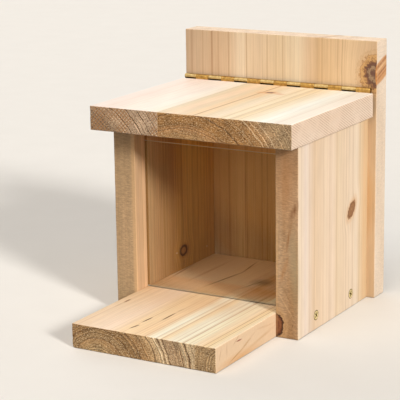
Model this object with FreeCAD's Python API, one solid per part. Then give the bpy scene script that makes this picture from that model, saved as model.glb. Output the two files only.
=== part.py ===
import FreeCAD, Part

import math
import os

# Squirrel feeder box: a small cedar box that is screwed to a tree. A clear pane shows the seed,
# the floor reaches out in front as a landing, and the roof lifts on a continuous hinge.
#
# Millimetres. X is to the right as seen from the front, Y points back to the tree, Z is up.
# The origin is at the bottom centre of the back panel's rear face, which lies on the tree.

Vector = FreeCAD.Vector
X_AXIS = Vector(1, 0, 0)
Y_AXIS = Vector(0, 1, 0)
Z_AXIS = Vector(0, 0, 1)

# Driving sizes of the boards
back_width = 180.0
back_height = 217.0
back_thickness = 19.5
wall_depth = 128.0
wall_height = 155.5
wall_thickness = 19.5
inner_width = 127.0
floor_thickness = 19.5
landing_reach = 95.0
floor_rear_gap = 0.8
floor_strip_width = 18.0
roof_width = 179.0
roof_depth = 146.0
roof_thickness = 19.5
roof_left_board_width = 62.7
edge_ease = 0.4

# Driving sizes of the pane and the saw grooves that hold it
pane_thickness = 3.0
pane_setback = 16.0
pane_groove_depth = 6.0
pane_top_gap = 13.5
pane_face_clearance = 0.3
pane_edge_clearance = 0.6

# Driving sizes of the continuous hinge
leaf_thickness = 1.0
leaf_length = 13.5
pin_diameter = 2.38
pin_clearance = 0.05
pin_lift = 1.7
knuckle_pitch = 12.6
knuckle_gap = 0.25
notch_clearance = 0.3
curl_gap = 0.25
hinge_left_inset = 1.1
hinge_right_inset = 3.3

# Driving sizes of the hinge screws
hinge_screw_spacing = 50.8
hinge_screw_first = 14.0
hinge_screw_drop = 8.6
hinge_screw_head = 4.6
hinge_screw_shank = 2.4
hinge_screw_length = 12.0

# Driving sizes of the wood screws
wood_screw_head = 8.2
wood_screw_shank = 4.2
wood_screw_length = 38.0
screw_head_angle = 82.0
screw_clearance = 0.1
screw_sides = 24
screw_point_share = 0.2
recess_width_share = 0.13
recess_length_share = 0.55
recess_depth_share = 0.6
wall_screw_below_floor_top = 8.0
wall_screw_rear_margin = 31.5
wall_screw_front_margin = 32.0
back_screw_low = 34.0
back_screw_top_margin = 27.5
back_floor_screw_margin = 31.5

# The two holes for the screws that hold the box to the tree
mount_hole_diameter = 5.0
mount_hole_spacing = 70.0
mount_hole_low = 60.0

# Places that follow from the sizes
back_front_y = -back_thickness
wall_front_y = back_front_y - wall_depth
wall_inner_x = inner_width / 2
wall_outer_x = wall_inner_x + wall_thickness
floor_rear_y = back_front_y - floor_rear_gap
floor_front_y = wall_front_y - landing_reach
knuckle_bore_radius = pin_diameter / 2 + pin_clearance
knuckle_radius = knuckle_bore_radius + leaf_thickness
roof_top_z = wall_height + roof_thickness
pin_y = back_front_y - knuckle_radius
pin_z = roof_top_z + pin_lift
roof_rear_y = pin_y - knuckle_radius
roof_left_x = -back_width / 2
hinge_left_x = roof_left_x + hinge_left_inset
hinge_length = roof_width - hinge_left_inset - hinge_right_inset
knuckle_count = math.ceil(hinge_length / knuckle_pitch)
first_knuckle_length = hinge_length - (knuckle_count - 1) * knuckle_pitch
pane_front_y = wall_front_y + pane_setback
pane_top_z = wall_height - pane_top_gap


def board(x0, y0, z0, width, depth, height, grain):
    """A planed board: the edges along the grain are eased, and the sawn ends are left sharp."""
    solid = Part.makeBox(width, depth, height, Vector(x0, y0, z0))
    long_edges = [edge for edge in solid.Edges if abs(edge.tangentAt(0).dot(grain)) > 0.5]
    return solid.makeChamfer(edge_ease, long_edges)


def screw_depth_of_head(head, shank):
    return (head - shank) / 2 / math.tan(math.radians(screw_head_angle / 2))


def flat(corners):
    return Part.Face(Part.makePolygon(corners + corners[:1]))


def turned(outline, place, direction):
    """A turned form through rings of (radius, depth) along direction, with flat sides to keep it light."""
    rings = []
    for radius, depth in outline:
        turns = [2 * math.pi * i / screw_sides for i in range(screw_sides)]
        rings.append([Vector(radius * math.cos(a), radius * math.sin(a), depth) for a in turns])
    faces = [flat(rings[0]), flat(rings[-1])]
    for ring, following in zip(rings, rings[1:]):
        for i in range(screw_sides):
            j = (i + 1) % screw_sides
            faces.append(flat([ring[i], ring[j], following[j], following[i]]))
    solid = Part.makeSolid(Part.makeShell(faces))
    solid.Placement = FreeCAD.Placement(place, FreeCAD.Rotation(Z_AXIS, direction))
    return solid


def countersunk_screw(head, shank, length, place, direction):
    """A flat head wood screw with its cross recess; the head's face is at place."""
    cone = screw_depth_of_head(head, shank)
    point = (shank * screw_point_share / 2, length)
    solid = turned([(head / 2, 0), (shank / 2, cone), (shank / 2, length - shank), point], place, direction)
    slot_width = head * recess_width_share
    slot_length = head * recess_length_share
    slot_depth = cone * recess_depth_share
    seat = solid.Placement
    for width, height in ((slot_length, slot_width), (slot_width, slot_length)):
        slot = Part.makeBox(width, height, slot_depth, Vector(-width / 2, -height / 2, 0))
        slot.Placement = seat
        solid = solid.cut(slot)
    return solid


def screw_hole(head, shank, length, place, direction):
    """The countersunk hole that such a screw sits in, larger all round by the screw clearance."""
    cone = screw_depth_of_head(head, shank)
    grow = screw_clearance
    mouth = [(head / 2 + grow, -1), (head / 2 + grow, 0)]
    return turned(mouth + [(shank / 2 + grow, cone), (shank / 2 + grow, length + grow)], place, direction)


def screws(sizes, places, direction):
    return Part.makeCompound([countersunk_screw(*sizes, place, direction) for place in places])


def screw_holes(sizes, places, direction):
    return [screw_hole(*sizes, place, direction) for place in places]


def part_of(solid, x0, x1):
    """The stretch of a solid between two planes square to X."""
    box = solid.BoundBox
    slab = Part.makeBox(x1 - x0, box.YLength + 2, box.ZLength + 2, Vector(x0, box.YMin - 1, box.ZMin - 1))
    return solid.common(slab)


# Where the screws go
wood_screw_sizes = (wood_screw_head, wood_screw_shank, wood_screw_length)
hinge_screw_sizes = (hinge_screw_head, hinge_screw_shank, hinge_screw_length)
back_wall_x = wall_inner_x + wall_thickness / 2
back_screw_heights = (back_screw_low, wall_height - back_screw_top_margin)
back_to_left_wall_places = [Vector(-back_wall_x, 0, z) for z in back_screw_heights]
back_to_right_wall_places = [Vector(back_wall_x, 0, z) for z in back_screw_heights]
back_floor_x = wall_inner_x - back_floor_screw_margin
back_to_floor_places = [Vector(x, 0, floor_thickness / 2) for x in (-back_floor_x, back_floor_x)]
wall_screw_height = floor_thickness - wall_screw_below_floor_top
wall_screw_ys = (back_front_y - wall_screw_rear_margin, wall_front_y + wall_screw_front_margin)
left_wall_to_floor_places = [Vector(-wall_outer_x, y, wall_screw_height) for y in wall_screw_ys]
right_wall_to_floor_places = [Vector(wall_outer_x, y, wall_screw_height) for y in wall_screw_ys]

first_hinge_screw_x = hinge_left_x + hinge_screw_first
room_for_hinge_screws = hinge_length - hinge_screw_first - hinge_screw_head
hinge_screw_count = math.floor(room_for_hinge_screws / hinge_screw_spacing) + 1
hinge_screw_xs = [first_hinge_screw_x + i * hinge_screw_spacing for i in range(hinge_screw_count)]
hinge_screw_z = pin_z - hinge_screw_drop
back_leaf_screw_places = [Vector(x, back_front_y - leaf_thickness, hinge_screw_z) for x in hinge_screw_xs]
roof_leaf_screw_places = [Vector(x, roof_rear_y + leaf_thickness, hinge_screw_z) for x in hinge_screw_xs]

rear_places = back_to_left_wall_places + back_to_right_wall_places + back_to_floor_places
holes_from_the_rear = screw_holes(wood_screw_sizes, rear_places, -Y_AXIS)
holes_from_the_left = screw_holes(wood_screw_sizes, left_wall_to_floor_places, X_AXIS)
holes_from_the_right = screw_holes(wood_screw_sizes, right_wall_to_floor_places, -X_AXIS)
holes_in_back_at_hinge = screw_holes(hinge_screw_sizes, back_leaf_screw_places, Y_AXIS)
holes_in_roof_at_hinge = screw_holes(hinge_screw_sizes, roof_leaf_screw_places, -Y_AXIS)


# Back panel: one upright board, wider and taller than the box that it carries
def make_back_panel():
    panel = board(-back_width / 2, back_front_y, 0, back_width, back_thickness, back_height, Z_AXIS)
    tree_holes = []
    for z in (mount_hole_low, mount_hole_low + mount_hole_spacing):
        start = Vector(0, back_front_y - 1, z)
        tree_holes.append(Part.makeCylinder(mount_hole_diameter / 2, back_thickness + 2, start, Y_AXIS))
    return panel.cut(holes_from_the_rear + holes_in_back_at_hinge + tree_holes)


# Walls: upright boards with a saw groove down the inner face for the pane
def make_wall(side):
    x0 = -wall_outer_x if side < 0 else wall_inner_x
    wall = board(x0, wall_front_y, 0, wall_thickness, wall_depth, wall_height, Z_AXIS)
    groove_x = -wall_inner_x - pane_groove_depth if side < 0 else wall_inner_x - 1
    groove = Part.makeBox(pane_groove_depth + 1, pane_thickness + 2 * pane_face_clearance, wall_height + 2,
                          Vector(groove_x, pane_front_y - pane_face_clearance, -1))
    return wall.cut([groove] + holes_from_the_rear + holes_from_the_left + holes_from_the_right)


# Floor: a wide board and a narrow strip, glued edge to edge, between the walls and out in front
def make_floor():
    floor = board(-wall_inner_x, floor_front_y, 0, inner_width, floor_rear_y - floor_front_y, floor_thickness,
                  Y_AXIS)
    return floor.cut(holes_from_the_rear + holes_from_the_left + holes_from_the_right)


# Roof: two boards glued edge to edge, level, flush with the back panel's left edge
def make_roof():
    roof = board(roof_left_x, roof_rear_y - roof_depth, wall_height, roof_width, roof_depth, roof_thickness,
                 Y_AXIS)
    return roof.cut(holes_in_roof_at_hinge)


# Pane: a clear sheet that stands on the floor and slides up in the two saw grooves
def make_pane():
    width = inner_width + 2 * (pane_groove_depth - pane_edge_clearance)
    return Part.makeBox(width, pane_thickness, pane_top_z - floor_thickness,
                        Vector(-width / 2, pane_front_y, floor_thickness))


# Continuous hinge: each leaf is a strip whose edge is cut into knuckles and curled round the pin
def knuckle_span(index):
    """Left and right ends of a knuckle's pitch; the first one is cut short where the strip was cut."""
    left = hinge_left_x + (first_knuckle_length + (index - 1) * knuckle_pitch if index else 0)
    right = hinge_left_x + first_knuckle_length + index * knuckle_pitch
    return left, right


def curled_knuckle(x0, x1, side):
    """One knuckle with the strip below it; side is 1 for the back leaf and -1 for the roof leaf."""
    tip_angle = 2 * math.pi - math.acos((knuckle_bore_radius - curl_gap) / knuckle_radius)

    def on_circle(radius, angle):
        return Vector(x0, pin_y + side * radius * math.cos(angle), pin_z + radius * math.sin(angle))

    outer = Part.Arc(on_circle(knuckle_radius, 0), on_circle(knuckle_radius, tip_angle / 2),
                     on_circle(knuckle_radius, tip_angle)).toShape()
    tip = Part.makeLine(on_circle(knuckle_radius, tip_angle), on_circle(knuckle_bore_radius, tip_angle))
    inner = Part.Arc(on_circle(knuckle_bore_radius, tip_angle), on_circle(knuckle_bore_radius, tip_angle / 2),
                     on_circle(knuckle_bore_radius, 0)).toShape()
    down = Vector(0, 0, -leaf_length)
    face_side = Part.makeLine(on_circle(knuckle_bore_radius, 0), on_circle(knuckle_bore_radius, 0) + down)
    foot = Part.makeLine(on_circle(knuckle_bore_radius, 0) + down, on_circle(knuckle_radius, 0) + down)
    wood_side = Part.makeLine(on_circle(knuckle_radius, 0) + down, on_circle(knuckle_radius, 0))
    section = Part.Face(Part.Wire([outer, tip, inner, face_side, foot, wood_side]))
    return section.extrude(X_AXIS * (x1 - x0))


def leaf_strip(side):
    """The flat strip of a leaf along the whole hinge, below the notches for the other leaf's knuckles."""
    top = pin_z - knuckle_radius - notch_clearance
    bottom = pin_z - leaf_length
    y0 = pin_y + knuckle_bore_radius if side > 0 else pin_y - knuckle_radius
    return Part.makeBox(hinge_length, leaf_thickness, top - bottom, Vector(hinge_left_x, y0, bottom))


def make_leaf(side, first, holes):
    pieces = []
    for index in range(first, knuckle_count, 2):
        left, right = knuckle_span(index)
        left_gap = knuckle_gap / 2 if index > 0 else 0
        right_gap = knuckle_gap / 2 if index < knuckle_count - 1 else 0
        pieces.append(curled_knuckle(left + left_gap, right - right_gap, side))
    leaf = leaf_strip(side).multiFuse(pieces).removeSplitter()
    return leaf.cut(holes)


def make_hinge_pin():
    return Part.makeCylinder(pin_diameter / 2, hinge_length, Vector(hinge_left_x, pin_y, pin_z), X_AXIS)


floor = make_floor()
floor_joint_x = wall_inner_x - floor_strip_width
roof = make_roof()
roof_joint_x = roof_left_x + roof_left_board_width

nodes = {
    "back_panel": make_back_panel(),
    "left_wall": make_wall(-1),
    "right_wall": make_wall(1),
    "floor_board": part_of(floor, -wall_inner_x, floor_joint_x),
    "floor_edge_strip": part_of(floor, floor_joint_x, wall_inner_x),
    "roof_left_board": part_of(roof, roof_left_x, roof_joint_x),
    "roof_right_board": part_of(roof, roof_joint_x, roof_left_x + roof_width),
    "window_pane": make_pane(),
    "hinge_back_leaf": make_leaf(1, 0, holes_in_back_at_hinge),
    "hinge_roof_leaf": make_leaf(-1, 1, holes_in_roof_at_hinge),
    "hinge_pin": make_hinge_pin(),
    "hinge_back_screws": screws(hinge_screw_sizes, back_leaf_screw_places, Y_AXIS),
    "hinge_roof_screws": screws(hinge_screw_sizes, roof_leaf_screw_places, -Y_AXIS),
    "left_wall_floor_screws": screws(wood_screw_sizes, left_wall_to_floor_places, X_AXIS),
    "right_wall_floor_screws": screws(wood_screw_sizes, right_wall_to_floor_places, -X_AXIS),
    "back_left_wall_screws": screws(wood_screw_sizes, back_to_left_wall_places, -Y_AXIS),
    "back_right_wall_screws": screws(wood_screw_sizes, back_to_right_wall_places, -Y_AXIS),
    "back_floor_screws": screws(wood_screw_sizes, back_to_floor_places, -Y_AXIS),
}

os.makedirs("parts", exist_ok=True)
for name, shape in nodes.items():
    shape.exportStep("parts/" + name + ".step")
    state = "valid" if shape.isValid() else "NOT VALID"
    print(name, len(shape.Solids), "solids", state, round(shape.Volume, 1))
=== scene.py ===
import itertools
import math
import random
from collections import namedtuple

import bpy
import numpy as np
from mathutils import Matrix, Vector, noise


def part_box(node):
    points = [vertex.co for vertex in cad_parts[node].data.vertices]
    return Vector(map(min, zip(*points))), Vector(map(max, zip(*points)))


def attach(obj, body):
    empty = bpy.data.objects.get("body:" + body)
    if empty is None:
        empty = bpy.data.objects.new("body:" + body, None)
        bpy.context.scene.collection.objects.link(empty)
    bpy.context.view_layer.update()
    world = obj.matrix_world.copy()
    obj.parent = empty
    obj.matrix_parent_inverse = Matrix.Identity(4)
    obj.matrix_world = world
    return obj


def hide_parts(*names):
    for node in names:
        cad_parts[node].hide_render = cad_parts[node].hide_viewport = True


# Squirrel feeder box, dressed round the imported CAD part. Metres in the scene; the sizes below are
# millimetres and go through MM. X is to the right, Y goes back to the tree, Z is up.
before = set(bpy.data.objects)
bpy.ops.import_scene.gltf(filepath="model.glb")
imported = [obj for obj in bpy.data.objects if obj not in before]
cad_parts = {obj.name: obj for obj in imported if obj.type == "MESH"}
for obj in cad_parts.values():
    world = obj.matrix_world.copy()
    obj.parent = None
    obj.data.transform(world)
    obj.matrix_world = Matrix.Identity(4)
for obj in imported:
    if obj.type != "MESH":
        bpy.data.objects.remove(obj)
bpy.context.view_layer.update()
MM = 0.001


# Back panel
# One upright cedar board, planed on its faces and sawn at its ends, wider and taller than the box.
# It has a large branch knot at its right arris, two holes for the screws to the tree, and
# countersunk holes for the screws that hold the box and the hinge.
def linear(hex_colour):
    """An sRGB hex colour as the linear colour that a shader takes."""
    parts = [int(hex_colour[i:i + 2], 16) / 255 for i in (0, 2, 4)]
    return tuple(c / 12.92 if c <= 0.04045 else ((c + 0.055) / 1.055) ** 2.4 for c in parts) + (1.0,)


def node_adder(data):
    """Empties the node tree of a new material or world, and gives the function that adds its nodes."""
    data.use_nodes = True
    tree = data.node_tree
    tree.nodes.clear()

    def add(kind, *values, out=None, stops=(), **settings):
        """Adds a node and gives its first output, or what `out` names. The kind may end with an operation
        or blend. Values, or the sockets that feed them, go to the inputs in order: for a MapRange these
        are value, from min, from max, to min and to max. A dict gives them by name instead."""
        kind, _, operation = kind.partition(" ")
        node = tree.nodes.new("ShaderNode" + kind)
        if kind == "Mix":
            node.data_type = "RGBA"
            node.blend_type = operation or "MIX"
        elif operation:
            node.operation = operation
        for key, value in settings.items():
            setattr(node, key, value)
        if stops:
            elements = node.color_ramp.elements
            while len(elements) < len(stops):
                elements.new(1.0)
            for element, (place, colour) in zip(elements, stops):
                element.position = place
                element.color = colour
        if values and isinstance(values[0], dict):
            pairs = [(node.inputs[key], value) for key, value in values[0].items()]
        else:
            pairs = zip([socket for socket in node.inputs if socket.enabled], values)
        for socket, value in pairs:
            if isinstance(value, bpy.types.NodeSocket):
                tree.links.new(value, socket)
            else:
                socket.default_value = value
        if isinstance(out, tuple):
            return [node.outputs[key] for key in out]
        return node.outputs[out] if out else next((s for s in node.outputs if s.enabled), None)

    return add


XYZ = ("X", "Y", "Z")
SMOOTH = dict(interpolation_type="SMOOTHSTEP")
ONE_D = dict(noise_dimensions="1D")
# how far a knot's layers reach, in its radii, and how strongly the fibres part round it
KNOT_SPAN = 2.5
KNOT_PULL = 0.85
# Places, sizes and turns of knots and marks are in the log's axes: two across the grain, then the one
# along it. A knot's layers are (radii, colour, cover), its fibres part as far out as `reach`, and `on`
# is the only axis whose faces show it. A mark is solid up to `hard` of its size, and the fibres break
# it less the nearer `even` is to 1.
Knot = namedtuple("Knot", "at size layers turn reach ragged mottle on",
                  defaults=((0, 0, 0), 1.7, 0.36, 0.25, None))
Mark = namedtuple("Mark", "at size colour strength hard even turn blend",
                  defaults=(0.8, 0.2, 0.4, (0, 0, 0), "MIX"))


def cedar(name, grain, pith, face, zones, ring, late, seed, lines=(), arcs=(), lean=(0, 0), wander=2.0,
          rings=0.4, ends=0.8, strong_ends=1.5, end_late="5f3d1e", speckle=0.5,
          end_tints=((0, "b8946a"), (500, "b8946a")), knots=(), marks=(), sawn=(), edges=(), within=None,
          fibre=0.16, stripes=0.2, band=3.0):
    """Western red cedar, planed and bare: dull, with a faint sheen, striped along the grain and speckled
    across it. Its growth rings lie round a pith at `pith`, across the grain, so planed faces show stripes
    and sawn ends show the same rings as arcs. `zones` are colours at places across one face, and `face`
    says which: an axis of the log and where it lies. `lines` are strong rings that cut that face, as
    (place, half width, strength), where a negative strength is pale, and `arcs` are more of them by
    radius. The grain leans by lean[0] mm for each mm beyond lean[1]. `within` gives one side other zones,
    as (axis, where they start, where they are full, zones). `edges` are rip-sawn sides, as (axis, colour,
    cover, fuzz), and `sawn` are saw marks, as (axis, angle, pitch, strength)."""
    u, v, w = {"Z": (0, 1, 2), "Y": (0, 2, 1)}[grain]
    fixed, level = face
    crossing = XYZ[1 - fixed]
    material = bpy.data.materials.new(name)
    add = node_adder(material)
    place, normal = add("TexCoord", out=("Object", "Normal"))
    mm = add("VectorMath SCALE", place, 1 / MM)
    axes = add("SeparateXYZ", mm, out=XYZ)
    normal = add("SeparateXYZ", normal, out=XYZ)
    log = add("CombineXYZ", axes[u], axes[v], axes[w])

    def facing(axis, low, high, **settings):
        """1 where the surface faces along an axis, and 0 where it doesn't."""
        return add("MapRange", add("Math ABSOLUTE", normal[axis]), low, high, **settings)

    def varied(colour, source, low, high):
        """A colour times something between low and high, by a noise."""
        return add("VectorMath SCALE", colour, add("MapRange", source, 0.3, 0.7, low, high))

    def colours_along(value, stops):
        first, last = stops[0][0], stops[-1][0]
        share = add("MapRange", value, first, last)
        return add("ValToRGB", share, stops=[((at - first) / (last - first), linear(colour))
                                             for at, colour in stops])

    # the log isn't straight: its rings drift slowly along the grain
    slow = add("VectorMath MULTIPLY_ADD", log, (1 / 60, 1 / 60, 1 / 210), (seed, 0, 0))
    drift = add("TexNoise", slow, 1.0, 2.5, out="Color")
    drift = add("VectorMath MULTIPLY_ADD", drift, (2 * wander, 2 * wander, 0), (-wander, -wander, 0))
    slant = add("Math MULTIPLY_ADD", axes[w], -lean[0], lean[0] * lean[1])
    bent = add("VectorMath ADD", log, drift)
    bent = add("VectorMath ADD", bent, add("CombineXYZ", {crossing: slant}))

    # the fibres part round a knot and close again above and below it
    knot_distances = []
    for knot in knots:
        near = add("Mapping", log, knot.at, knot.turn, knot.size, vector_type="TEXTURE")
        uneven = add("TexNoise", near, 1.6, 2.0)
        distance = add("Math MULTIPLY_ADD", uneven, knot.ragged, add("VectorMath LENGTH", near))
        distance = add("Math SUBTRACT", distance, knot.ragged / 2)
        knot_distances.append(distance)
        falling = add("Math MULTIPLY", add("Math MULTIPLY", distance, distance), -1 / knot.reach ** 2)
        pull = add("Math MULTIPLY", add("Math EXPONENT", falling), -KNOT_PULL)
        offset = add("VectorMath MULTIPLY", add("VectorMath SUBTRACT", bent, knot.at), (1, 1, 0))
        bent = add("VectorMath ADD", bent, add("VectorMath SCALE", offset, pull))

    # the distance from the pith, a little unsteady where it shows on end grain
    end = facing(w, 0.55, 0.9, **SMOOTH)
    unsteady = add("MapRange", add("TexNoise", log, 0.13, 1.5), 0.3, 0.7, -0.6, 0.6)
    across = add("VectorMath MULTIPLY_ADD", bent, (1, 1, 0), (-pith[0], -pith[1], 0))
    radius = add("Math MULTIPLY_ADD", unsteady, end, add("VectorMath LENGTH", across))

    # where the ring through each point cuts the face: right there on the face, along the ring elsewhere
    flat = facing((u, v)[fixed], 0.55, 0.9, **SMOOTH)
    inner = add("Math MULTIPLY_ADD", radius, radius, -(level - pith[fixed]) ** 2)
    inner = add("Math SQRT", add("Math MAXIMUM", inner, 0.0))
    flank = add("Math SIGN", add("SeparateXYZ", across, out=crossing))
    followed = add("Math MULTIPLY_ADD", inner, flank, pith[1 - fixed])
    straight = add("SeparateXYZ", bent, out=crossing)
    cut = add("MapRange", flat, 0, 1, followed, straight)
    count = add("MapRange", flat, 0, 1, radius, straight)

    # growth rings: pale early wood that darkens to a thin line of late wood, each year of its own strength
    years = add("Math MULTIPLY", count, 1 / ring)
    years = add("Math MULTIPLY_ADD", add("TexNoise", years, 0.33, 1.0, **ONE_D), 3.2, years)
    luck = add("TexWhiteNoise", add("Math FLOOR", years), **ONE_D)
    late_share = add("Math MULTIPLY_ADD", luck, 0.8, 0.2)
    part = add("Math FRACT", years)
    line, early = [
        add("Math MULTIPLY", add("ValToRGB", part, stops=[(at, (grey, grey, grey, 1)) for at, grey in year]),
            late_share)
        for year in (((0, 0.35), (0.05, 0), (0.5, 0.05), (0.80, 0.30), (0.92, 1), (1, 0.8)),
                     ((0, 0), (0.07, 1), (0.22, 0.35), (0.5, 0)))]
    crisp = add("Math POWER", line, 1.8)
    strong = {True: 0.0, False: 0.0}
    for source, chosen, shown in ((cut, lines, 1.0), (radius, arcs, end)):
        for at, half, strength in chosen:
            off = add("Math ABSOLUTE", add("Math SUBTRACT", source, at))
            off = add("MapRange", off, 0.4 * half, 1.1 * half, abs(strength), 0.0)
            off = add("Math MULTIPLY", off, shown)
            strong[strength > 0] = add("Math MAXIMUM", strong[strength > 0], off)
    stripe = add("TexNoise", count, 1 / band, 3.0, 0.6, **ONE_D)
    layers = add("TexNoise", radius, 0.9, 1.0, **ONE_D)

    # fibres 0.8 mm wide and 40 mm long, as fine as the render can show; cut cell ends torn by the saw,
    # which really are 0.03 mm and are drawn at 1 mm for the same reason; slow clouds of tone along the
    # grain; and the saw's marks across a rip-sawn edge, 3 mm long and 0.8 mm apart
    fibres, pores, clouds, fuzz = [
        add("TexNoise", add("VectorMath MULTIPLY", space, per_mm), 1.0, 3.0, roughness)
        for space, per_mm, roughness in (
            (bent, (1 / 0.8, 1 / 0.8, 1 / 40), 0.65), (log, (0.7, 1.2, 1.2), 0.7),
            (bent, (1 / 10, 1 / 10, 1 / 35), 0.6), (bent, (0.33, 0.33, 1.2), 0.7))]

    # colour zones across the board
    wood = colours_along(straight, zones)
    if within:
        axis, start, full, inner_zones = within
        inside = add("MapRange", axes[axis], start, full)
        wood = add("Mix", inside, wood, colours_along(straight, inner_zones))
    for source, amount in ((stripe, stripes), (fibres, fibre), (clouds, 0.08)):
        wood = varied(wood, source, 1 + amount / 2, 1 - amount / 2)
    for share, colour in ((add("Math MULTIPLY", line, rings), late), (strong[False], "fff2dc"),
                          (strong[True], late)):
        wood = add("Mix", share, wood, linear(colour))

    # rip-sawn edges are rougher and greyer than the planed faces, and half as torn as the sawn ends
    torn = end
    for side, colour, cover, fuzzy in edges:
        on_side = facing(side, 0.6, 0.9)
        patchy = add("MapRange", add("TexNoise", slow, 3.0, 3.0), 0.3, 0.7, cover - 0.15, cover + 0.15)
        wood = add("Mix", add("Math MULTIPLY", on_side, patchy), wood, linear(colour))
        tone = add("MapRange", fuzz, 0.3, 0.7, 1 - fuzzy, 1 + fuzzy)
        wood = add("VectorMath SCALE", wood, add("MapRange", on_side, 0, 1, 1.0, tone))
        torn = add("Math MULTIPLY_ADD", on_side, 0.5, torn)

    # sawn ends are darker, and show each ring as a dark line with a pale one beside it
    end_wood = colours_along(radius, end_tints)
    for shape, colour, amount in (
            (early, "ecd2a6", 0.55 * ends), (crisp, end_late, 1.3 * ends),
            (strong[False], "f0dcb8", strong_ends), (strong[True], end_late, strong_ends)):
        depth = add("Math MULTIPLY", shape, amount, use_clamp=True)
        end_wood = add("Mix", depth, end_wood, linear(colour))
    for source in (clouds, layers):
        end_wood = varied(end_wood, source, 1 - 0.5 * speckle, 1 + 0.5 * speckle)
    for low, high, colour, amount in ((0.45, 0.34, "f2ddba", 1.2), (0.54, 0.65, end_late, 1.7)):
        fleck = add("MapRange", pores, low, high, 0, amount * speckle)
        end_wood = add("Mix", fleck, end_wood, linear(colour))
    wood = add("Mix", end, wood, end_wood)

    # saw marks: shallow parallel scores, left only here and there
    height = add("Math MULTIPLY", fibres, 0.5)
    height = add("Math MULTIPLY_ADD", add("Math MULTIPLY", pores, torn), 1.4, height)
    patches = add("MapRange", add("TexNoise", log, 0.06, 1.0), 0.40, 0.58, 0.25)
    for side, angle, pitch, strength in sawn:
        a, b = [axis for axis in (0, 1, 2) if axis != side]
        direction = [0.0, 0.0, 0.0]
        direction[a] = math.cos(math.radians(angle)) / pitch
        direction[b] = math.sin(math.radians(angle)) / pitch
        phase = add("Math MULTIPLY_ADD", pores, 0.35, add("VectorMath DOT_PRODUCT", mm, direction))
        score = add("Math SINE", add("Math MULTIPLY", phase, math.tau))
        score = add("MapRange", score, 0.1, 1.0)
        on_side = add("Math GREATER_THAN", add("Math ABSOLUTE", normal[side]), 0.8)
        score = add("Math MULTIPLY", add("Math MULTIPLY", score, on_side), patches)
        wood = add("Mix", add("Math MULTIPLY", score, strength), wood, linear(late))
        height = add("Math MULTIPLY_ADD", score, -strength * 2, height)

    # knots: layers of bark, core and resin-rich wood, each at its share of the knot's radius
    blots = add("TexNoise", log, 0.45, 2.0, 0.6)
    for knot, distance in zip(knots, knot_distances):
        mottled = add("MapRange", blots, 0.3, 0.7, -knot.mottle / 2, knot.mottle / 2)
        share = add("Math MULTIPLY", add("Math ADD", distance, mottled), 1 / KNOT_SPAN)
        colour, cover = add("ValToRGB", share, out=("Color", "Alpha"), stops=[
            (at / KNOT_SPAN, linear(tint)[:3] + (cover,)) for at, tint, cover in knot.layers])
        if knot.on is not None:
            cover = add("Math MULTIPLY", cover, facing(knot.on, 0.5, 0.8))
        wood = add("Mix", cover, wood, colour)

    # pitch streaks and stains in the grain, and broad patches of painted shade and bounce light, each solid
    # up to `hard` of its size
    for mark in marks:
        near = add("Mapping", log, mark.at, mark.turn, mark.size, vector_type="TEXTURE")
        shape = add("MapRange", add("VectorMath LENGTH", near), mark.hard, 1.0, mark.strength, 0.0)
        broken = add("MapRange", fibres, 0.35, 0.6, mark.even, 1.0)
        wood = add("Mix " + mark.blend, add("Math MULTIPLY", shape, broken), wood, linear(mark.colour))

    dull = add("Math MULTIPLY_ADD", end, 0.15, add("MapRange", fibres, 0.3, 0.7, 0.52, 0.72))
    relief = add("Bump", {"Strength": 0.55, "Distance": 0.22 * MM, "Height": height})
    add("OutputMaterial", add("BsdfPrincipled", {
        "Base Color": wood, "Roughness": dull, "Normal": relief, "IOR": 1.5, "Specular IOR Level": 0.35}))
    return material


def placed(name, data):
    """A new object in the scene."""
    made = bpy.data.objects.new(name, data)
    bpy.context.scene.collection.objects.link(made)
    return made


def mesh_object(name, points, faces):
    """A new mesh in the scene, through points in metres."""
    mesh = bpy.data.meshes.new(name)
    mesh.from_pydata([tuple(p) for p in points], [], [tuple(int(i) for i in face) for face in faces])
    return placed(name, mesh)


def mesh_piece(name, points, faces, material, body, node):
    """A closed mesh as a piece that stands for its CAD node."""
    piece = mesh_object(name, points, faces)
    piece.data.materials.append(material)
    piece.data.polygons.foreach_set("use_smooth", [True] * len(faces))
    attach(piece, body)
    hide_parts(node)
    return piece


def grid_box(lines):
    """The closed skin of a box, as a grid. `lines` are the places of its lines along X, Y and Z."""
    index, points, faces = {}, [], []
    for axis in range(3):
        a, b = (axis + 1) % 3, (axis + 2) % 3
        for side in (0, len(lines[axis]) - 1):
            for i in range(len(lines[a]) - 1):
                for j in range(len(lines[b]) - 1):
                    square = []
                    for di, dj in ((0, 0), (1, 0), (1, 1), (0, 1)):
                        key = [0, 0, 0]
                        key[axis], key[a], key[b] = side, i + di, j + dj
                        key = tuple(key)
                        if key not in index:
                            index[key] = len(points)
                            points.append([line[k] for line, k in zip(lines, key)])
                        square.append(index[key])
                    faces.append(square if side else square[::-1])
    return np.array(points), faces


def rounded(points, low, high, low_reach, high_reach):
    """The points of a box's skin, drawn in within reach of its arrises so that these are round."""
    inner = np.clip(points, low + low_reach, high - high_reach)
    beyond = points - inner
    reach = np.where(beyond < 0, low_reach, high_reach)
    length = np.maximum(np.linalg.norm(beyond / reach, axis=1), 1)
    return inner + beyond / length[:, None]


def lofted(rings, cap=()):
    """A closed form through rings of as many points each. A cap is one face, or the faces named."""
    size = len(rings[0])
    last = (len(rings) - 1) * size
    faces = []
    for face in cap or [range(size)]:
        faces += [list(face)[::-1], [last + i for i in face]]
    for row in range(0, last, size):
        for i in range(size):
            j = (i + 1) % size
            faces.append([row + i, row + j, row + size + j, row + size + i])
    return [point for ring in rings for point in ring], faces


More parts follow.
